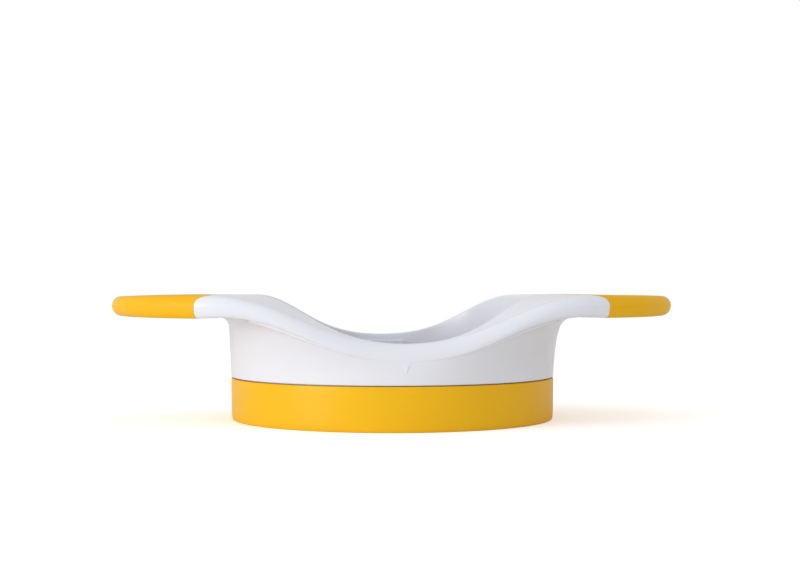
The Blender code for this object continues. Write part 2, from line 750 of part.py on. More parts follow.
def make_guard():
    """The lower ring: a thin wall round the neck, turned in at the foot, with ribs that grip the neck."""
    outer = RING_RADIUS
    inner = outer - GUARD_WALL
    foot = GUARD_FOOT_RADIUS
    tuck = outer - GUARD_TUCK_DEPTH
    profile = [(inner + GUARD_EDGE, GUARD_TOP), (outer - GUARD_EDGE, GUARD_TOP)]
    profile += [(outer, GUARD_TOP - GUARD_EDGE), (tuck, GUARD_TUCK_HEIGHT)]
    for share in steps(ROLL_STEPS)[1:]:
        angle = share * math.pi / 2
        radius = mix(foot, tuck, math.cos(angle))
        profile.append((radius, GUARD_TUCK_HEIGHT * (1 - math.sin(angle)) ** 2))
    lip = GUARD_FLANGE_RADIUS
    profile += [(lip + GUARD_EDGE, 0), (lip, GUARD_EDGE), (lip, GUARD_FLANGE_THICKNESS - GUARD_EDGE)]
    profile += [(lip + GUARD_EDGE, GUARD_FLANGE_THICKNESS), (inner, GUARD_FLANGE_THICKNESS)]
    profile.append((inner, GUARD_TOP - GUARD_EDGE))
    guard = turned("guard_ring", profile, GUARD_SIDES, "guard_plastic")

    rib_face = NECK_RADIUS + SEAT_GAP
    rib_back = inner + GUARD_WALL / 2
    rib_top = GUARD_TOP - GUARD_RIB_TOP_INSET
    bm = bmesh.new()
    for index in range(GUARD_RIB_COUNT):
        turn = Matrix.Rotation(2 * math.pi * (index + 0.5) / GUARD_RIB_COUNT, 4, "Z")
        middle = ((rib_face + rib_back) / 2, 0, (GUARD_RIB_START + rib_top) / 2)
        size = (rib_back - rib_face, GUARD_RIB_WIDTH, rib_top - GUARD_RIB_START)
        place = turn @ Matrix.Translation(middle) @ Matrix.Diagonal((*size, 1))
        bmesh.ops.create_cube(bm, size=1, matrix=place)
    boolean(guard, add_cutter("guard_ribs", mesh_from(bm, "guard_ribs")), "UNION")
    return guard


clear_scene()
parts = new_collection("mango_pitter")
cutters = new_collection("cutters")
cutters.hide_render = True
form = frame_form()

make_frame()
make_grip("grip_left", -1)
make_grip("grip_right", 1)
make_blade("blade_left", -1)
make_blade("blade_right", 1)
for rivet_place, rivet_y, rivet_z in rivet_places():
    make_rivet(f"blade_rivet_{rivet_place}", rivet_y, rivet_z)
for end_name, end_side in (("front", -1), ("back", 1)):
    make_keeper(f"keeper_{end_name}", end_side)
    for hand_name, hand in (("left", -1), ("right", 1)):
        make_screw(f"keeper_screw_{end_name}_{hand_name}", hand * SCREW_X, end_side * SCREW_Y)
make_guard()
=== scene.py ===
# %% [markdown]
# # A press-down mango pitter
# This lesson dresses a small kitchen tool: a white moulded ring that swells into two broad wings, a
# yellow soft grip on each wing, an eye-shaped steel blade across the bore, and a yellow blade guard
# pushed on underneath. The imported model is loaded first, because it fixes where every piece is. All
# that follows only gives those pieces finer surfaces and finishes.

# %% Load the fixed frame
import math

import bmesh
import bpy
from mathutils import Matrix, Vector


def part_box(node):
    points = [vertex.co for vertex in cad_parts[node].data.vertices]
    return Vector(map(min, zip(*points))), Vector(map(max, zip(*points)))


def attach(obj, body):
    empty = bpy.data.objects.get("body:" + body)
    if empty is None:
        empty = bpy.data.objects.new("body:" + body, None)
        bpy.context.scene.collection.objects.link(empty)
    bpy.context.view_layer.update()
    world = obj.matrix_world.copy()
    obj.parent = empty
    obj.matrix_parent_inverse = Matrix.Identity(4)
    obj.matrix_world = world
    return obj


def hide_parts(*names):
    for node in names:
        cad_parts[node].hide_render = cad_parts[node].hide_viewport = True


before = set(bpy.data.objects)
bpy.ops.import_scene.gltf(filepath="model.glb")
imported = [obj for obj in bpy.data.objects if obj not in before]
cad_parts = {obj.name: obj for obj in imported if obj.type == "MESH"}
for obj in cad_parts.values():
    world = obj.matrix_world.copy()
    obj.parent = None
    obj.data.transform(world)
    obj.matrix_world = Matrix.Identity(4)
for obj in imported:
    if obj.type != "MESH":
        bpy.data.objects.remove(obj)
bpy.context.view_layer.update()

print("solids:", sorted(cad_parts))

# %% [markdown]
# ## Sizes
# Every size is a real one in metres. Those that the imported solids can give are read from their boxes,
# so the two models can't drift apart. The rest are named here once, in the order in which the ring,
# its rim, its wings and its grips use them.

# %% Sizes read from the solids
MM = 0.001
MICRON = 0.001 * MM
frame_low, frame_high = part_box("frame")
guard_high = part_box("guard_ring")[1]

wing_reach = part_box("grip_right")[1].x
rim_half_depth = frame_high.y
crown_height = frame_high.z
neck_bottom = frame_low.z
ring_radius = guard_high.x
guard_top = guard_high.z
print(f"wings reach {wing_reach / MM:.1f} mm, ring radius {ring_radius / MM:.1f} mm")

# %% Sizes of the ring and its rim
seat_gap = 0.3 * MM
shoulder_height = guard_top + seat_gap
shoulder_edge = 0.55 * MM
neck_radius = ring_radius - 2.5 * MM
bore_radius = neck_radius - 2.2 * MM
neck_lead_in = 0.5 * MM
saddle_height = 28.5 * MM
rise_run = ring_radius + 9.5 * MM
rise_steepness = 0.15
wing_top_fall = 0.5 * MM
level_share = 0.5
band_height_front = 5.7 * MM
band_growth = 4
wing_thickness = 7.6 * MM
tip_thickness = 6.7 * MM
roll_depth_front = 2.9 * MM
wing_under_edge = 1.6 * MM
crease_share = 0.06
middle_share = 0.5
wall_draft = 0.04
wall_flare = 8.0 * MM
flare_blend = 3
cove_radius = 4.0 * MM
cove_room_share = 0.4
edge_room_share = 0.5
lip_radius = 0.8 * MM

# %% Sizes of the outline from above and of the grips' edge
plan_fullness = 2.7
bare_length = (wing_reach - ring_radius) * 0.214
grip_edge = ring_radius + bare_length
grip_edge_fullness = 2.5
grip_top_draw = bare_length * 0.91
grip_under_draw = bare_length * 0.19
grip_hollow = bare_length * 0.68
print(f"the grip starts {grip_edge / MM:.1f} mm out along the wing")

# %% [markdown]
# ## Camera
# The photograph was taken from the height of the tool itself. The camera is level, 519 mm from the
# ring's axis and 46 mm above the table, so the wings' tops are seen almost edge on. It stands 4.9
# degrees to the left of the front, which brings the left wing a little nearer than the right one. The
# focal length follows from the 800 pixels that the picture is wide, so that one millimetre at the axis
# covers 2.8 pixels. The lens is shifted by eight pixels, because the horizon lies that much below the
# middle of the picture.

# %% Place the camera
picture_width = 800
sensor_width = 36.0
camera_distance = 519 * MM
camera_height = 46.0 * MM
camera_side_step = 2.73 * MM
camera_turn = math.radians(4.88)
pixels_per_radian = 1443.9
horizon_drop = 8
nearest_seen, farthest_seen = 10 * MM, 50

camera_data = bpy.data.cameras.new("camera")
camera_data.sensor_width = sensor_width
camera_data.lens = sensor_width * pixels_per_radian / picture_width
camera_data.shift_y = horizon_drop / picture_width
camera_data.clip_start = nearest_seen
camera_data.clip_end = farthest_seen
camera = bpy.data.objects.new("camera", camera_data)
forward = Vector((math.sin(camera_turn), math.cos(camera_turn), 0))
rightward = Vector((math.cos(camera_turn), -math.sin(camera_turn), 0))
camera.location = rightward * camera_side_step - forward * camera_distance
camera.location.z = camera_height
camera.rotation_euler = (math.pi / 2, 0, -camera_turn)
bpy.context.scene.collection.objects.link(camera)
bpy.context.scene.camera = camera
print("lens", round(camera_data.lens, 1), "mm")

# %% [markdown]
# ## Shader maths
# A procedural finish is arithmetic on sockets: a mask times a colour step, a noise minus its mean. A
# small class wraps one socket and gives it Python's own operators, each of which adds one Math node.
# Everything else, such as a noise or a bump, comes from one method that takes a node's type, its
# settings and its inputs.

# %% A socket with operators
class Value:
    """One output socket of a finish, with arithmetic that adds Math nodes."""

    def __init__(self, finish, socket):
        self.finish = finish
        self.socket = socket

    def math(self, operation, *others):
        inputs = dict(enumerate([self, *others]))
        return self.finish.node("ShaderNodeMath", {"operation": operation}, inputs)

    def __add__(self, other):
        return self.math("ADD", other)

    def __sub__(self, other):
        return self.math("SUBTRACT", other)

    def __rsub__(self, other):
        return (self * -1).math("ADD", other)

    def __mul__(self, other):
        return self.math("MULTIPLY", other)

    __radd__ = __add__
    __rmul__ = __mul__

    def step(self, low, high):
        """0 below low, 1 above high, and a smooth rise between them."""
        settings = {"interpolation_type": "SMOOTHSTEP"}
        return self.finish.node("ShaderNodeMapRange", settings, {0: self, 1: low, 2: high})


# %% Any node tree, and a finish: one material and its nodes
class Graph:
    def __init__(self, tree):
        self.tree = tree

    def node(self, kind, settings=None, inputs=None, output=0):
        made = self.tree.nodes.new(kind)
        for setting, value in (settings or {}).items():
            setattr(made, setting, value)
        for socket, value in (inputs or {}).items():
            if isinstance(value, Value):
                self.tree.links.new(value.socket, made.inputs[socket])
            else:
                made.inputs[socket].default_value = value
        return Value(self, made.outputs[output]) if made.outputs else made


class Finish(Graph):
    """A Principled material. Constants are set on its sockets, and what varies is linked to them."""

    def __init__(self, name, constants):
        self.material = bpy.data.materials.new(name)
        self.material.use_nodes = True
        super().__init__(self.material.node_tree)
        self.shader = self.tree.nodes["Principled BSDF"]
        for socket, value in constants.items():
            self.shader.inputs[socket].default_value = value

    def feed(self, socket, value):
        self.tree.links.new(value.socket, self.shader.inputs[socket])

    def place(self, stretch=(1, 1, 1)):
        """The surface's own place in metres, stretched along its axes."""
        where = self.node("ShaderNodeTexCoord", output=3)
        return self.node("ShaderNodeMapping", {}, {"Vector": where, "Scale": stretch})

    def noise(self, scale, detail=2.0, stretch=(1, 1, 1)):
        inputs = {"Vector": self.place(stretch), "Scale": scale, "Detail": detail}
        return self.node("ShaderNodeTexNoise", {}, inputs)

    def height(self, axis):
        """One coordinate of the surface's place, in metres."""
        return self.node("ShaderNodeSeparateXYZ", {}, {"Vector": self.place()}, axis)

    def blend(self, mask, low, high):
        inputs = {0: mask, 6: low, 7: high}
        return self.node("ShaderNodeMix", {"data_type": "RGBA"}, inputs, 2)

    def bump(self, height, depth, under=None):
        """A bump of a real depth in metres, over another one if it is given."""
        inputs = {"Height": height, "Distance": depth, "Strength": 1.0}
        if under is not None:
            inputs["Normal"] = under
        return self.node("ShaderNodeBump", {}, inputs)


# %% [markdown]
# ## White plastic
# The ring is a glossy white moulding with a faint texture that breaks up its highlights. White shows
# very little colour change, so the finish lives in its roughness: broad soft patches from handling,
# and a fine grain. Two bumps do the rest, a slow one like the flow marks of a moulding and a fine one
# like the polish of the mould.

# %% The white finish
def white_plastic():
    finish = Finish("white_plastic", {"IOR": 1.5, "Coat Weight": 0.25, "Coat Roughness": 0.08})
    broad = finish.noise(45.0, 3.0)
    fine = finish.noise(2600.0, 2.0)
    scuff = finish.noise(900.0, 4.0, (1, 1, 0.12)).step(0.66, 0.80)
    clean = (0.825, 0.840, 0.905, 1)
    handled = (0.795, 0.808, 0.868, 1)
    finish.feed("Base Color", finish.blend(broad.step(0.35, 0.75) * 0.5, clean, handled))
    finish.feed("Roughness", 0.23 + (broad - 0.5) * 0.07 + (fine - 0.5) * 0.05 + scuff * 0.06)
    flow = finish.bump(broad, 60 * MICRON)
    finish.feed("Normal", finish.bump(fine, 2.2 * MICRON, flow))
    return finish.material


# %% [markdown]
# ## Yellow plastic and yellow rubber
# Both yellows are nearly the same colour, but they are not the same stuff. The guard is a hard satin
# moulding. The grips are a soft rubber-like plastic, a little more golden, whose surface is matt
# because it is covered in a fine leathery grain. A Voronoi pattern gives that grain its cells.

# %% The yellow finishes
def guard_plastic():
    finish = Finish("guard_plastic", {"Specular IOR Level": 0.22})
    broad = finish.noise(38.0, 3.0)
    fine = finish.noise(2200.0, 2.0)
    scuff = finish.noise(700.0, 4.0, (1, 1, 0.1)).step(0.68, 0.82)
    clean = (0.92, 0.515, 0.006, 1)
    handled = (0.88, 0.476, 0.004, 1)
    finish.feed("Base Color", finish.blend(broad.step(0.3, 0.75) * 0.6, clean, handled))
    finish.feed("Roughness", 0.36 + (broad - 0.5) * 0.08 + (fine - 0.5) * 0.06 + scuff * 0.08)
    flow = finish.bump(broad, 50 * MICRON)
    finish.feed("Normal", finish.bump(fine, 3 * MICRON, flow))
    return finish.material


def grip_rubber():
    finish = Finish("grip_rubber", {"Specular IOR Level": 0.2})
    broad = finish.noise(55.0, 3.0)
    where = {"Vector": finish.place(), "Scale": 1900.0}
    grain = finish.node("ShaderNodeTexVoronoi", {}, where)
    fine = finish.noise(5200.0, 2.0)
    clean = (0.905, 0.492, 0.004, 1)
    pressed = (0.865, 0.448, 0.003, 1)
    finish.feed("Base Color", finish.blend(broad.step(0.3, 0.7) * 0.6, clean, pressed))
    finish.feed("Roughness", 0.47 + (broad - 0.5) * 0.10 + (fine - 0.5) * 0.08)
    leather = finish.bump(grain, 10 * MICRON)
    finish.feed("Normal", finish.bump(fine, 3 * MICRON, leather))
    return finish.material


# %% [markdown]
# ## Steel
# The blade is cold-rolled strip, brushed along its length, with a ground bevel at its lower edge. The
# brushing is noise squeezed flat in Z, so that it becomes long level scratches. The bevel is told by
# height alone, because its cut is level all the way round, and there the grain runs up and down.

# %% The steel finishes
def brushed_steel(name, edge_height=None, bevel_height=None):
    finish = Finish(name, {"Metallic": 1.0})
    lines = finish.noise(60.0, 6.0, (1, 1, 60))
    cloud = finish.noise(110.0, 3.0)
    tone = (lines - 0.5) * 0.5 + (cloud - 0.5) * 0.3 + 0.5
    colour = finish.blend(tone, (0.50, 0.51, 0.53, 1), (0.66, 0.67, 0.68, 1))
    rough = 0.24 + (lines - 0.5) * 0.16 + (cloud - 0.5) * 0.06
    relief = finish.bump(lines, 4 * MICRON)
    if edge_height is not None:
        bevel_top = edge_height + bevel_height
        bevel = 1 - finish.height(2).step(edge_height + bevel_height * 0.94, bevel_top)
        strokes = finish.noise(900.0, 3.0, (1, 1, 0.05))
        colour = finish.blend(bevel, colour, (0.74, 0.75, 0.76, 1))
        rough = rough * (1 - bevel) + bevel * (0.13 + (strokes - 0.5) * 0.1)
    finish.feed("Base Color", colour)
    finish.feed("Roughness", rough)
    finish.feed("Normal", relief)
    return finish.material


# %% Make the finishes
blade_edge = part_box("blade_right")[0].z
bevel_height = 2.2 * MM
finishes = {
    "white_plastic": white_plastic(),
    "guard_plastic": guard_plastic(),
    "grip_rubber": grip_rubber(),
    "blade_steel": brushed_steel("blade_steel", blade_edge, bevel_height),
    "fastener_steel": brushed_steel("fastener_steel"),
}
print("finishes:", ", ".join(finishes))


# %% [markdown]
# ## Adding a piece
# Each piece is a mesh that rides on one of the two bodies: the pitter itself, or the guard that pulls
# off it. A piece stands for the plain solid of the same name, which is then hidden, and takes one of
# the finishes above. The vertices are shaded smooth except across real corners.

# %% Helpers for pieces
def mix(start, end, share):
    return start + (end - start) * share


def steps(count):
    return [index / count for index in range(count + 1)]


def finished_mesh(bm, name):
    bmesh.ops.recalc_face_normals(bm, faces=bm.faces)
    mesh = bpy.data.meshes.new(name)
    bm.to_mesh(mesh)
    bm.free()
    return mesh


def plain_object(name, mesh):
    made = bpy.data.objects.new(name, mesh)
    bpy.context.scene.collection.objects.link(made)
    return made


def settle(piece):
    """Applies the modifiers of a piece, so that its mesh is final."""
    graph = bpy.context.evaluated_depsgraph_get()
    mesh = bpy.data.meshes.new_from_object(piece.evaluated_get(graph))
    old = piece.data
    piece.modifiers.clear()
    piece.data = mesh
    bpy.data.meshes.remove(old)


def dress(piece, body, slot, *nodes, corner=30):
    """Rides on its body, stands for its solids and takes its finish."""
    piece.data.materials.clear()
    piece.data.materials.append(finishes[slot])
    piece.data.shade_smooth()
    piece.data.set_sharp_from_angle(angle=math.radians(corner))
    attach(piece, body)
    if nodes:
        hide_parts(*nodes)
    print(f"{piece.name}: {len(piece.data.polygons)} faces on {body}")


def carve(piece, tool, operation):
    """A Boolean that is applied at once and takes its tool away."""
    step = piece.modifiers.new("carve", "BOOLEAN")
    step.operation = operation
    step.solver = "MANIFOLD"
    step.object = tool
    settle(piece)
    bpy.data.objects.remove(tool, do_unlink=True)


# %% [markdown]
# ## The outline from above
# Seen from above, ring and wings share one smooth oval, a little squarer than an ellipse. Stepping it
# by equal angles about the ring's axis gives the round wall below it even facets, and each point knows
# which way is outward, which the edge's rounding needs.

# %% A quarter of the outline
outline_steps = 100


def plan_station(angle):
    ray = Vector((math.cos(angle), math.sin(angle)))
    power = plan_fullness
    reach = ((ray.x / wing_reach) ** power + (ray.y / rim_half_depth) ** power) ** (-1 / power)
    outward_x = ray.x ** (power - 1) / wing_reach**power
    outward_y = ray.y ** (power - 1) / rim_half_depth**power
    return ray * reach, Vector((outward_x, outward_y)).normalized()


def quarter_outline():
    outline = [plan_station(share * math.pi / 2) for share in steps(outline_steps)[:-1]]
    return outline + [(Vector((0, rim_half_depth)), Vector((0, 1)))]


print("stations in a quarter:", len(quarter_outline()))

# %% [markdown]
# ## The saddle
# The rim dips to the front and the back and rises to the wings. One curve says how high it is at each
# place along the tool: a half wave, drawn slightly steeper in its middle. The rolled band below the
# rim grows from 5.7 mm at the front to the whole thickness of the wing, slowly at first and then fast.

# %% Heights along the tool
def rise_share(x):
    run = min(x / rise_run, 1)
    eased = run - rise_steepness * math.sin(2 * math.pi * run) / (2 * math.pi)
    return (1 - math.cos(math.pi * eased)) / 2


def tip_share(x):
    return (max(x - rise_run, 0) / (wing_reach - rise_run)) ** 2


def top_height(x):
    return mix(saddle_height, crown_height, rise_share(x)) - wing_top_fall * tip_share(x)


def band_height(x):
    thinning = (wing_thickness - tip_thickness) * tip_share(x)
    return mix(band_height_front, wing_thickness, min(x / rise_run, 1) ** band_growth) - thinning


def under_height(x):
    return top_height(x) - band_height(x)


def drafted_radius(z):
    return ring_radius + wall_draft * (z - shoulder_height)


print("rim heights in mm:", [round(top_height(x * MM) / MM, 1) for x in (0, 20, 40, 60, 100)])

# %% [markdown]
# ## The frame's section
# At each station one closed loop of points runs round the moulding: up the outside of the neck, out
# over the shoulder, up the wall, through the cove into the underside, round the edge, over the rolled
# band to the crest, in across the top and down the bore. Lofting these loops gives the whole body,
# because ring and wing differ only in how far the loop reaches. The mould closes along the middle of
# the wings' edge, and leaves a step of a few hundredths of a millimetre there.

# %% One section of the frame
wall_steps, cove_steps, under_steps, edge_steps, roll_steps, top_steps, lip_steps = 14, 8, 5, 8, 14, 8, 6
mould_step = 0.05 * MM


def frame_section(point, normal):
    rim_x = point.x
    ray = point.normalized()
    section = []

    def level_x(plan):
        return mix(plan.x, rim_x, level_share)

    def add(plan, z):
        section.append(Vector((plan.x, plan.y, z)))

    add(ray * bore_radius, neck_bottom)
    add(ray * (neck_radius - neck_lead_in), neck_bottom)
    add(ray * neck_radius, neck_bottom + neck_lead_in)
    add(ray * neck_radius, shoulder_height)
    for share in steps(lip_steps):
        angle = share * math.pi / 2
        inset = shoulder_edge * (1 - math.sin(angle))
        add(ray * (ring_radius - inset), shoulder_height + shoulder_edge * (1 - math.cos(angle)))

    wall_under = under_height(level_x(ray * ring_radius))
    room = point.length - drafted_radius(wall_under)
    wish = max(wall_flare * (2 * ray.x * ray.y) ** 2, MICRON)
    flare = (wish**-flare_blend + room**-flare_blend) ** (-1 / flare_blend)
    corner = drafted_radius(wall_under) + flare
    cove = min(cove_radius, cove_room_share * (room - flare))

    def wall_reach(z):
        share = (z - shoulder_height) / (wall_under - shoulder_height)
        return drafted_radius(z) + flare * share**2

    for share in steps(wall_steps)[1:]:
        z = mix(shoulder_height + shoulder_edge, wall_under - cove, share)
        add(ray * wall_reach(z), z)
    for share in steps(cove_steps)[1:]:
        rising = mix(wall_reach(wall_under - cove), corner, share)
        level = mix(corner, corner + cove, share)
        add(ray * mix(rising, level, share), wall_under - cove * (1 - share) ** 2)
    cove_end = ray * (corner + cove)

    under_edge = mix(wing_under_edge, tip_thickness / 2, tip_share(rim_x))
    under_edge = min(under_edge, edge_room_share * (room - flare))
    roll_depth = mix(roll_depth_front, tip_thickness / 2, tip_share(rim_x))
    low, high = under_height(rim_x), top_height(rim_x)
    middle = mix(low, high, mix(crease_share, middle_share, rise_share(rim_x)))
    for share in steps(under_steps)[1:-1]:
        plan = cove_end.lerp(point - normal * under_edge, share)
        add(plan, under_height(level_x(plan)))
    step_in = normal * mould_step * rise_share(rim_x)
    for share in steps(edge_steps):
        angle = share * math.pi / 2
        plan = point - step_in - normal * under_edge * (1 - math.sin(angle))
        add(plan, mix(middle, low, math.cos(angle)))
    for share in steps(roll_steps):
        angle = share * math.pi / 2
        lifted = middle + mould_step / 2 if share == 0 else mix(middle, high, math.sin(angle))
        add(point - normal * roll_depth * (1 - math.cos(angle)), lifted)

    crest = point - normal * roll_depth
    lip_plan = ray * (bore_radius + lip_radius)
    for share in steps(top_steps)[1:]:
        plan = crest.lerp(lip_plan, share)
        add(plan, top_height(level_x(plan)))
    lip_z = top_height(level_x(lip_plan)) - lip_radius
    for share in steps(lip_steps)[1:]:
        angle = share * math.pi / 2
        reach = bore_radius + lip_radius * (1 - math.sin(angle))
        add(ray * reach, lip_z + lip_radius * math.cos(angle))
    return section


# %% Loft the quarter and mirror it twice
def loft(sections, cyclic=False, capped=False):
    bm = bmesh.new()
    rings = [[bm.verts.new(point) for point in section] for section in sections]
    if cyclic:
        rings.append(rings[0])
    count = len(rings[0])
    for ring, after in zip(rings, rings[1:]):
        for index in range(count):
            following = (index + 1) % count
            bm.faces.new((ring[index], ring[following], after[following], after[index]))
    if capped:
        bm.faces.new(rings[0])
        bm.faces.new(rings[-1])
    return bm


def whole_form():
    bm = loft([frame_section(point, normal) for point, normal in quarter_outline()])
    for axis in "XY":
        geometry = bm.verts[:] + bm.edges[:] + bm.faces[:]
        bmesh.ops.mirror(bm, geom=geometry, matrix=Matrix.Identity(4), merge_dist=MICRON, axis=axis)
    return finished_mesh(bm, "form")


form = whole_form()
print("form:", len(form.vertices), "points")


# %% [markdown]
# ## Where white meets yellow
# The grip is moulded over the end of the wing, flush with it, so the two share one outer form. On the
# wing's side the parting surface bows out round a white tongue. On its top the yellow comes in along
# the crest and stays further out at mid width. A block with that bowed face cuts the form in two. The
# pieces stay a twentieth of a millimetre apart, the hairline that a real overmoulding shows.

# %% The bowed cutting block
hairline = 0.05 * MM
overshoot = 2 * MM


def grip_edge_x(y, z):
    middle = mix(under_height(grip_edge), top_height(grip_edge), middle_share)
    off_middle = min(abs(z - middle) / (band_height(grip_edge) / 2), 1)
    draw = grip_top_draw if z > middle else grip_under_draw
    round_off = 1 - (1 - off_middle**grip_edge_fullness) ** (1 / grip_edge_fullness)
    return grip_edge - draw * round_off + grip_hollow * (1 - (y / rim_half_depth) ** 2)


def end_block(side, gap):
    half_width = rim_half_depth + overshoot
    low = under_height(rise_run) - overshoot
    high = crown_height + overshoot
    bm = bmesh.new()
    bmesh.ops.create_grid(bm, x_segments=64, y_segments=40, size=1)
    for vertex in bm.verts:
        y = vertex.co.x * half_width
        z = mix(low, high, (vertex.co.y + 1) / 2)
        vertex.co = (side * (grip_edge_x(y, z) + gap), y, z)
    pulled = bmesh.ops.extrude_face_region(bm, geom=bm.faces[:])
    for item in pulled["geom"]:
        if isinstance(item, bmesh.types.BMVert):
            item.co.x = side * (wing_reach + overshoot)
    return plain_object("end_block", finished_mesh(bm, "end_block"))


# %% The grips
for label, side in (("left", -1), ("right", 1)):
    grip = plain_object(f"soft_grip_{label}", form.copy())
    carve(grip, end_block(side, hairline), "INTERSECT")
    dress(grip, "pitter", "grip_rubber", f"grip_{label}", corner=40)

# %% [markdown]
# ## Bosses and slots
# Two bosses stand inside the bore at the front and the back. Each has a slot for the doubled tails of
# the blade and a cross pocket behind it for the bent tabs, both open underneath, where a small keeper
# closes them. The bosses are drawn as an outline and extruded, then joined to the form, and slot and
# pocket are cut out again.

# %% Sizes of the bosses
saddle_recess = 4.5 * MM
blade_top = saddle_height - saddle_recess
boss_face = bore_radius - 7.2 * MM
boss_half_width = 8.5 * MM
boss_corner = 2.0 * MM
boss_root = 0.8 * MM
boss_roof = 2.0 * MM
boss_round = 0.35 * MM
keeper_bottom, keeper_top = (corner.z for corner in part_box("keeper_front"))
boss_bottom = keeper_top + seat_gap
boss_top = blade_top + seat_gap + boss_roof
strip_thickness = 0.6 * MM
strip_offset = (seat_gap + strip_thickness) / 2
tab_length = 4.6 * MM
tab_seat = boss_face + 5.3 * MM
pocket_headroom = 0.5 * MM


# %% Extruded outlines and boxes
def slab(name, outline, low, high, round_off=0.0):
    """An outline of (x, y) points extruded between two heights, with its edges rounded."""
    bm = bmesh.new()
    base = bm.faces.new([bm.verts.new((x, y, low)) for x, y in outline])
    pulled = bmesh.ops.extrude_face_region(bm, geom=[base])
    for item in pulled["geom"]:
        if isinstance(item, bmesh.types.BMVert):
            item.co.z = high
    if round_off:
        edges = [edge for edge in bm.edges if edge.calc_face_angle(0) > math.radians(30)]
        bmesh.ops.bevel(bm, geom=edges, offset=round_off, segments=3, profile=0.5, affect="EDGES")
    return plain_object(name, finished_mesh(bm, name))


def rectangle(x_low, x_high, y_low, y_high):
    return [(x_low, y_low), (x_high, y_low), (x_high, y_high), (x_low, y_high)]


def rounded_corner(x, y, radius, start, end, count=6):
    return [
        (x + radius * math.cos(mix(start, end, share)), y + radius * math.sin(mix(start, end, share)))
        for share in steps(count)
    ]


def boss_outline(side, inset=0.0, outer=None):
    width = boss_half_width - inset
    inner = boss_face + inset
    corner = boss_corner
    points = rounded_corner(corner - width, inner + corner, corner, math.pi, 1.5 * math.pi)
    points += rounded_corner(width - corner, inner + corner, corner, -0.5 * math.pi, 0)
    outer = outer or bore_radius + boss_root
    reach = math.asin(width / outer)
    for share in steps(12):
        angle = mix(reach, -reach, share)
        points.append((outer * math.sin(angle), outer * math.cos(angle)))
    return [(x, side * y) for x, y in points]


# %% The frame
moulding = plain_object("white_frame", form.copy())
for side in (-1, 1):
    carve(moulding, end_block(side, 0.0), "DIFFERENCE")
    boss = slab("boss", boss_outline(side), boss_bottom, boss_top, boss_round)
    carve(moulding, boss, "UNION")
    slot_half = strip_offset + strip_thickness / 2 + seat_gap
    pocket_half = tab_length + seat_gap
    pocket_near = tab_seat - strip_thickness / 2 - seat_gap
    pocket_far = tab_seat + strip_thickness / 2 + seat_gap
    slot_roof = blade_top + seat_gap
    for half, start, end, top in (
        (slot_half, boss_face - overshoot, tab_seat, slot_roof),
        (pocket_half, pocket_near, pocket_far, slot_roof + pocket_headroom),
    ):
        outline = rectangle(-half, half, side * start, side * end)
        carve(moulding, slab("slot", outline, boss_bottom - overshoot, top), "DIFFERENCE")
dress(moulding, "pitter", "white_plastic", "frame", corner=40)

# %% [markdown]
# ## The line mark
# A small triangle on the front wall points down at the line that the blade lies on, so that the cook
# can lay the stone's narrow edge along it. It is a raised pad with sloping flanks, of which the lamp on
# the left lights one and leaves the other dark. Its face is upright while the wall leans in below it,
# so the pad stands out further at its tip.

# %% The triangle on the wall
mark_half_width = 1.95 * MM
mark_top = 23.0 * MM
mark_height = 4.0 * MM
mark_flank = 0.34 * MM
mark_inside_box = 0.02 * MM
mark_face = rim_half_depth - mark_inside_box
mark_steps = ((0, -0.2), (0, 0), (0.3, 0.45), (0.7, 0.88), (1, 1))


def line_mark():
    corners = [Vector((-mark_half_width, mark_top)), Vector((mark_half_width, mark_top))]
    corners.append(Vector((0, mark_top - mark_height)))
    inner_radius = (corners[2] - corners[0]).length / 4
    centre = (corners[0] + corners[1] + corners[2]) / 3
    loops = []
    for inset, lift in mark_steps:
        loop = []
        for index, corner in enumerate(corners):
            after = corners[(index + 1) % 3]
            for share in steps(8)[:-1]:
                flat = corner.lerp(after, share)
                flat = flat.lerp(centre, inset * mark_flank / inner_radius)
                reach = mix(drafted_radius(flat.y), mark_face, lift)
                loop.append(Vector((flat.x, -math.sqrt(reach**2 - flat.x**2), flat.y)))
        loops.append(loop)
    return plain_object("line_mark", finished_mesh(loft(loops, capped=True), "line_mark"))


dress(line_mark(), "pitter", "white_plastic", corner=50)


# %% [markdown]
# ## The blade
# Each half of the blade is one strip of stainless steel on edge. It starts as a tab bent into the back
# boss, runs forward as a straight tail beside its twin, swings out round half of the eye, and ends the
# same way at the front. An eight-sided section, flat on both faces, softened above and ground to a
# narrow edge below, is swept along that path.

# %% The strip's path and section
eye_half_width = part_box("blade_right")[1].x - strip_thickness / 2
eye_half_length = boss_face - 7.6 * MM
eye_bend = 4.0 * MM
tab_bend = 0.9 * MM
edge_step = 1.2 * MM


def arc(centre, radius, start, end, count, outward=1):
    stations = []
    for share in steps(count):
        angle = mix(start, end, share)
        ray = Vector((math.cos(angle), math.sin(angle)))
        stations.append((centre + ray * radius, ray * outward))
    return stations


def half_strip_path():
    rise = eye_half_width - strip_offset
    eye_radius = (eye_half_length**2 + rise**2) / (2 * rise)
    eye_centre = Vector((eye_half_width - eye_radius, 0))
    bend_x = strip_offset + eye_bend
    bend_y = math.sqrt((eye_radius + eye_bend) ** 2 - (bend_x - eye_centre.x) ** 2)
    meet = math.atan2(bend_y, bend_x - eye_centre.x)
    tab_centre = Vector((strip_offset + tab_bend, tab_seat - tab_bend))
    path = [(Vector((tab_length, tab_seat)), Vector((0, 1)))]
    path += arc(tab_centre, tab_bend, math.pi / 2, math.pi, 8)
    left = Vector((-1, 0))
    path += [(Vector((strip_offset, y)), left) for y in (boss_face, boss_face - edge_step)]
    path += arc(Vector((bend_x, bend_y)), eye_bend, math.pi, math.pi + meet, 14)
    path += arc(eye_centre, eye_radius, meet, 0, 56, -1)[1:]
    return path


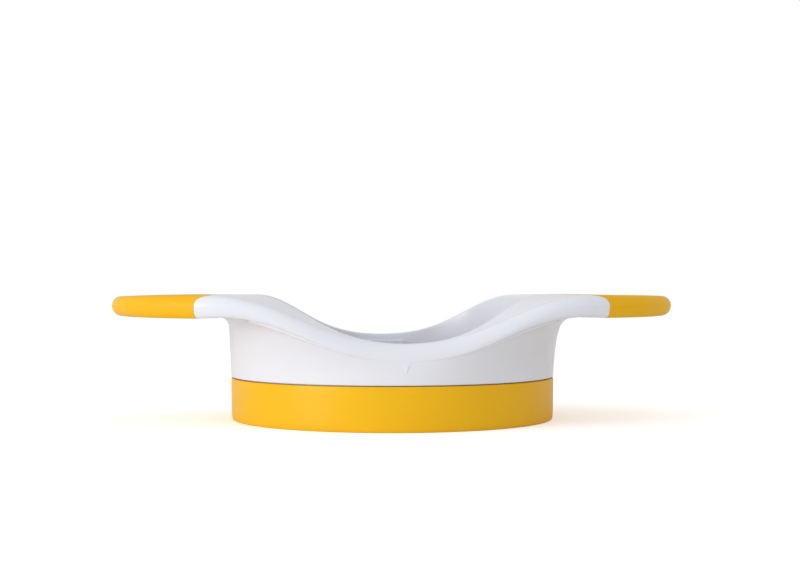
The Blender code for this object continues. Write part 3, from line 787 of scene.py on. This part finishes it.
def strip_section(point, normal):
    half = normal * strip_thickness / 2
    share = min(max((abs(point.y) - boss_face + edge_step) / edge_step, 0), 1)
    low = mix(blade_edge, boss_bottom, share)
    shoulder = low + bevel_height
    soften = 0.12 * MM
    land = half * 0.06
    face = [(point + half, blade_top - soften), (point + half * 0.6, blade_top)]
    face += [(point - half * 0.6, blade_top), (point - half, blade_top - soften)]
    face += [(point - half, shoulder), (point - land, low), (point + land, low), (point + half, shoulder)]
    return [Vector((plan.x, plan.y, z)) for plan, z in face]


# %% The two halves
for label, side in (("left", -1), ("right", 1)):
    back = half_strip_path()
    front = [(Vector((p.x, -p.y)), Vector((n.x, -n.y))) for p, n in back[-2::-1]]
    sections = [strip_section(point, normal) for point, normal in back + front]
    bm = loft(sections, capped=True)
    bmesh.ops.scale(bm, vec=(side, 1, 1), verts=bm.verts)
    strip = plain_object(f"steel_strip_{label}", finished_mesh(bm, "strip"))
    dress(strip, "pitter", "blade_steel", f"blade_{label}", corner=20)

# %% [markdown]
# ## Rivets, keepers and screws
# Flush rivets hold the doubled tails together. They and the screws are turned shapes: a short profile
# of radii and heights, spun round an axis. A screw's drive is a cross cut into its head. The keepers
# repeat the bosses' outline, drawn in by the gap that lets them drop into the bore.

# %% Turned shapes
def spun(name, profile, sides=40):
    """A profile of (radius, height) points that starts and ends on the axis, spun about Z."""
    angles = [2 * math.pi * index / sides for index in range(sides)]
    rings = [[(r * math.cos(a), r * math.sin(a), z) for a in angles] for r, z in profile[1:-1]]
    return plain_object(name, finished_mesh(loft(rings, capped=True), name))


# %% Rivets
rivet_head_depth = 0.5 * MM
rivet_shank = 0.9 * MM

for name in ("front_lower", "front_upper", "back_lower", "back_upper"):
    low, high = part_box(f"blade_rivet_{name}")
    radius = (high.z - low.z) / 2
    reach = (high.x - low.x) / 2
    seat = reach - rivet_head_depth
    half = [(0, reach), (radius * 0.45, reach), (radius * 0.8, reach - 0.05 * MM)]
    half += [(radius * 0.95, reach - 0.16 * MM), (radius, seat + 0.12 * MM), (radius, seat)]
    half.append((rivet_shank, seat))
    rivet = spun(f"flush_rivet_{name}", half + [(r, -z) for r, z in half[::-1]])
    rivet.data.transform(Matrix.Rotation(math.pi / 2, 4, "Y"))
    rivet.data.transform(Matrix.Translation((low + high) / 2))
    dress(rivet, "pitter", "fastener_steel", f"blade_rivet_{name}", corner=35)

# %% Keepers
keeper_play = 0.3 * MM
keeper_round = 0.25 * MM
screw_hole = 1.5 * MM
hole_profile = [(0, 0), (screw_hole, -5 * MM), (screw_hole, 20 * MM), (0, 0)]

for end, side in (("front", -1), ("back", 1)):
    outline = boss_outline(side, keeper_play, bore_radius - seat_gap)
    keeper = slab(f"boss_keeper_{end}", outline, keeper_bottom, keeper_top, keeper_round)
    for hand in ("left", "right"):
        low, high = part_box(f"keeper_screw_{end}_{hand}")
        middle = (low + high) / 2
        hole = spun("hole", hole_profile)
        hole.data.transform(Matrix.Translation((middle.x, middle.y, keeper_bottom)))
        carve(keeper, hole, "DIFFERENCE")
    dress(keeper, "pitter", "white_plastic", f"keeper_{end}", corner=35)

# %% Screws
head_rise = 1.4 * MM
screw_shank = 1.2 * MM
screw_tip = 0.5 * MM
taper_length = 1.2 * MM
drive_arm = rectangle(-1.2 * MM, 1.2 * MM, -0.3 * MM, 0.3 * MM)
drive_depth = 0.9 * MM
drive_turn = 0.4

for end, hand in [(end, hand) for end in ("front", "back") for hand in ("left", "right")]:
    low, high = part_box(f"keeper_screw_{end}_{hand}")
    middle = (low + high) / 2
    head, rise = (high.x - low.x) / 2, head_rise
    profile = [(0, high.z), (screw_tip, high.z)]
    profile += [(screw_shank, high.z - taper_length), (screw_shank, low.z + rise)]
    profile += [(head * 0.97, low.z + rise), (head, low.z + rise * 0.8), (head * 0.94, low.z + rise * 0.35)]
    profile += [(head * 0.75, low.z + rise * 0.08), (head * 0.4, low.z), (0, low.z)]
    screw = spun(f"pan_screw_{end}_{hand}", profile)
    for turn in (0, math.pi / 2):
        arm = slab("arm", drive_arm, low.z - 1 * MM, low.z + drive_depth)
        arm.data.transform(Matrix.Rotation(turn + drive_turn, 4, "Z"))
        carve(screw, arm, "DIFFERENCE")
    screw.data.transform(Matrix.Translation((middle.x, middle.y, 0)))
    dress(screw, "pitter", "fastener_steel", f"keeper_screw_{end}_{hand}", corner=35)

# %% [markdown]
# ## The blade guard
# The guard is one thin turned ring: a wall that slips over the frame's neck, a foot that is tucked in
# gently so that it doesn't catch the table, and a narrow flange that turns in under the blade. Twelve
# short ribs inside centre it on the neck. It is spun from one closed profile, and the ribs are joined
# on.

# %% The guard's profile
guard_wall = 1.6 * MM
guard_foot = ring_radius - 1.3 * MM
guard_tuck = 3.3 * MM
guard_lip = ring_radius - 6.5 * MM
guard_draw_in = 0.15 * MM
guard_flange = 1.5 * MM
guard_edge = 0.4 * MM
guard_fillet = 0.5 * MM


def guard_profile():
    outer, inner = ring_radius, ring_radius - guard_wall
    tuck = outer - guard_draw_in
    top = guard_top - guard_edge
    quarter = math.pi / 2

    def corner(r, z, radius, start, end):
        return rounded_corner(r, z, radius, start, end, 5)

    points = corner(inner + guard_edge, top, guard_edge, 2 * quarter, quarter)
    points += corner(outer - guard_edge, top, guard_edge, quarter, 0)
    for share in steps(6)[1:]:
        points.append((mix(outer, tuck, share**2), mix(top, guard_tuck, share)))
    for share in steps(14)[1:]:
        angle = share * math.pi / 2
        points.append((mix(guard_foot, tuck, math.cos(angle)), guard_tuck * (1 - math.sin(angle)) ** 2))
    lip_x = guard_lip + guard_edge
    points += corner(lip_x, guard_edge, guard_edge, 3 * quarter, 2 * quarter)
    points += corner(lip_x, guard_flange - guard_edge, guard_edge, 2 * quarter, quarter)
    foot = guard_flange + guard_fillet
    points += corner(inner - guard_fillet, foot, guard_fillet, 3 * quarter, 4 * quarter)
    return points


# %% Spin the ring and add its ribs
guard_sides = 288
rib_count = 12
rib_half = 0.7 * MM
rib_bottom = 3.0 * MM
rib_drop = 2.0 * MM
rib_round = 0.15 * MM


def guard_ring():
    profile = guard_profile()
    sections = []
    for index in range(guard_sides):
        angle = 2 * math.pi * index / guard_sides
        sections.append([Vector((r * math.cos(angle), r * math.sin(angle), z)) for r, z in profile])
    ring = plain_object("yellow_guard", finished_mesh(loft(sections, cyclic=True), "guard"))
    face = neck_radius + seat_gap
    back = ring_radius - guard_wall / 2
    outline = rectangle(face, back, -rib_half, rib_half)
    for index in range(rib_count):
        rib = slab("rib", outline, rib_bottom, guard_top - rib_drop, rib_round)
        rib.data.transform(Matrix.Rotation(2 * math.pi * (index + 0.5) / rib_count, 4, "Z"))
        carve(ring, rib, "UNION")
    return ring


dress(guard_ring(), "guard", "guard_plastic", "guard_ring", corner=40)

# %% [markdown]
# ## Floor and light
# The photograph's background is plain white with one soft shadow under the tool. The floor is a wide
# pale plane that keeps that shadow: to the camera it also glows a little, and far away it turns to
# plain white, so that no horizon shows. The world is white to the camera and gives a weaker white as
# light, because the white plastic would burn out under a full one. One large soft lamp, low on the
# left, does the modelling.

# %% The floor
floor_half = 6.0
floor_glow = 0.4
floor_fade = (0.2, 0.7)

bm = bmesh.new()
bmesh.ops.create_grid(bm, x_segments=1, y_segments=1, size=floor_half)
floor_plane = plain_object("floor", finished_mesh(bm, "floor"))
floor = Finish("floor", {"Base Color": (0.9, 0.9, 0.9, 1), "Roughness": 0.9, "Specular IOR Level": 0.0})
matt = Value(floor, floor.shader.outputs[0])
where = floor.node("ShaderNodeTexCoord", output=3)
away = floor.node("ShaderNodeVectorMath", {"operation": "LENGTH"}, {0: where}, 1).step(*floor_fade)
glow = floor.node("ShaderNodeEmission", {}, {"Strength": floor_glow})
backdrop = floor.node("ShaderNodeEmission", {}, {"Strength": 1.0})
close_by = floor.node("ShaderNodeAddShader", {}, {0: matt, 1: glow})
shown = floor.node("ShaderNodeMixShader", {}, {0: away, 1: close_by, 2: backdrop})
by_camera = floor.node("ShaderNodeLightPath", output="Is Camera Ray")
floor_look = floor.node("ShaderNodeMixShader", {}, {0: by_camera, 1: matt, 2: shown})
floor.tree.links.new(floor_look.socket, floor.tree.nodes["Material Output"].inputs["Surface"])
floor_plane.data.materials.append(floor.material)
print(f"floor: {2 * floor_half:.0f} m square, white from {floor_fade[1]} m out")

# %% The world
world_light = 0.75

world = bpy.data.worlds.new("world")
bpy.context.scene.world = world
world.use_nodes = True
world.node_tree.nodes.clear()
sky = Graph(world.node_tree)
sky_white = sky.node("ShaderNodeBackground", {}, {"Color": (1, 1, 1, 1), "Strength": 1.0})
sky_light = sky.node("ShaderNodeBackground", {}, {"Color": (1, 1, 1, 1), "Strength": world_light})
sky_by_camera = sky.node("ShaderNodeLightPath", output="Is Camera Ray")
sky_look = sky.node("ShaderNodeMixShader", {}, {0: sky_by_camera, 1: sky_light, 2: sky_white})
sky.node("ShaderNodeOutputWorld", {}, {"Surface": sky_look})
print("world light:", world_light)

# %% The lamp
lamp_place = (-1.03, -0.60, 0.19)
lamp_size = 0.55
lamp_power = 6.2
lamp_target = Vector((0, 0, 20 * MM))

lamp_data = bpy.data.lights.new("key", "AREA")
lamp_data.shape = "DISK"
lamp_data.size = lamp_size
lamp_data.energy = lamp_power
lamp = bpy.data.objects.new("key", lamp_data)
lamp.location = lamp_place
lamp.rotation_euler = (lamp_target - lamp.location).to_track_quat("-Z", "Y").to_euler()
bpy.context.scene.collection.objects.link(lamp)
print(f"lamp: {lamp_power} W, {lamp.location.length:.2f} m from the ring")

# %% [markdown]
# ## Finish
# The picture is shown with the Standard transform, so a colour comes out about as it is written.

# %% Set the view transform and free the form
bpy.context.scene.view_settings.view_transform = "Standard"
bpy.data.meshes.remove(form)
